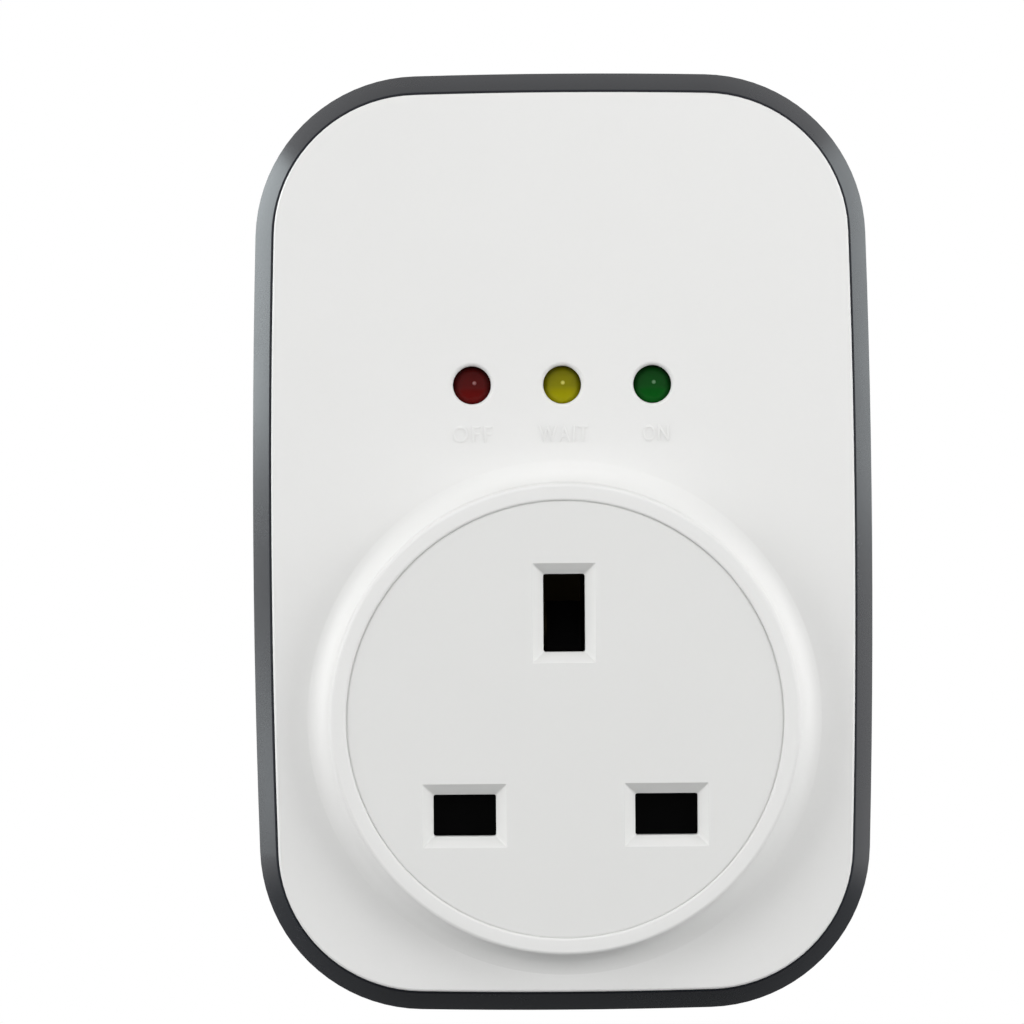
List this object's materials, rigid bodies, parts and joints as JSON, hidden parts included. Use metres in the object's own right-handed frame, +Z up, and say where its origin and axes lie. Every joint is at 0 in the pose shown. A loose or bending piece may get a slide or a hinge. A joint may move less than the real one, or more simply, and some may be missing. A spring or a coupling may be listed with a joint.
{
  "type": "plug-in voltage protector",
  "caption": "Plug-through voltage protector with square pins on the back, a shuttered square-pin socket and a row of indicator lamps on the front.",
  "frame": {"origin": "centre of the plug's pin pattern on the face that meets the wall socket", "axes": "+Y goes into the wall, -Y out of the front towards the user, +Z up, +X to the right as seen from the front"},
  "size_m": [0.0694, 0.0662, 0.1052],
  "materials": {
    "case": "fine satin, moulded",
    "cover": "satin, moulded",
    "black_plastic": "satin",
    "steel": "zinc plated",
    "brass": "plain",
    "copper": "enamelled copper",
    "board": "solder mask",
    "red_lens": "clear tinted resin",
    "yellow_lens": "clear tinted resin",
    "green_lens": "clear tinted resin",
    "relay_shell": "satin",
    "film_box": "satin",
    "can": "shrink sleeve",
    "disc": "dipped epoxy",
    "resistor": "lacquer",
    "brown_wire": "flexible sheath",
    "blue_wire": "flexible sheath"
  },
  "bodies": {
    "casing": {"rear_case": "case", "front_cover": "cover", "socket_face": "cover", "case_screws": "steel", "socket_base": "black_plastic", "base_screws": "steel", "shutter_spring": "steel", "live_contact": "brass", "neutral_contact": "brass", "earth_contact": "brass", "live_pin": "brass", "neutral_pin": "brass", "earth_pin": "brass", "live_sleeve": "black_plastic", "neutral_sleeve": "black_plastic", "pin_clamp": "black_plastic", "clamp_screws": "steel", "neutral_link": "brass", "earth_link": "brass", "circuit_board": "board", "board_screws": "steel", "red_lamp": "red_lens", "yellow_lamp": "yellow_lens", "green_lamp": "green_lens", "lamp_legs": "steel", "relay_base": "black_plastic", "relay_cover": "relay_shell", "relay_coil": "copper", "relay_yoke": "steel", "relay_terminals": "brass", "film_capacitor": "film_box", "smoothing_capacitor": "can", "varistor": "disc", "controller_chip": "black_plastic", "resistors": "resistor", "diodes": "black_plastic", "live_in_wire": "brown_wire", "live_out_wire": "brown_wire", "neutral_wire": "blue_wire"},
    "shutter": {"shutter": "black_plastic"},
    "armature": {"relay_armature": "steel", "moving_contact": "copper"}
  },
  "joints": [
    {"name": "shutter_slide", "type": "slide", "parent": "casing", "child": "shutter", "axis": [0, 0, -1], "range_m": [0, 0.0054], "stiffness_N_per_m": 150, "springref_m": -0.004, "deforming": ["shutter_spring"]},
    {"name": "armature_hinge", "type": "hinge", "parent": "casing", "child": "armature", "pos_m": [-0.0098, -0.01445, 0.05175], "axis": [0, 0, -1], "range_deg": [0, 3.8], "stiffness_Nm_per_rad": 0.01, "springref_deg": -5.73}
  ]
}
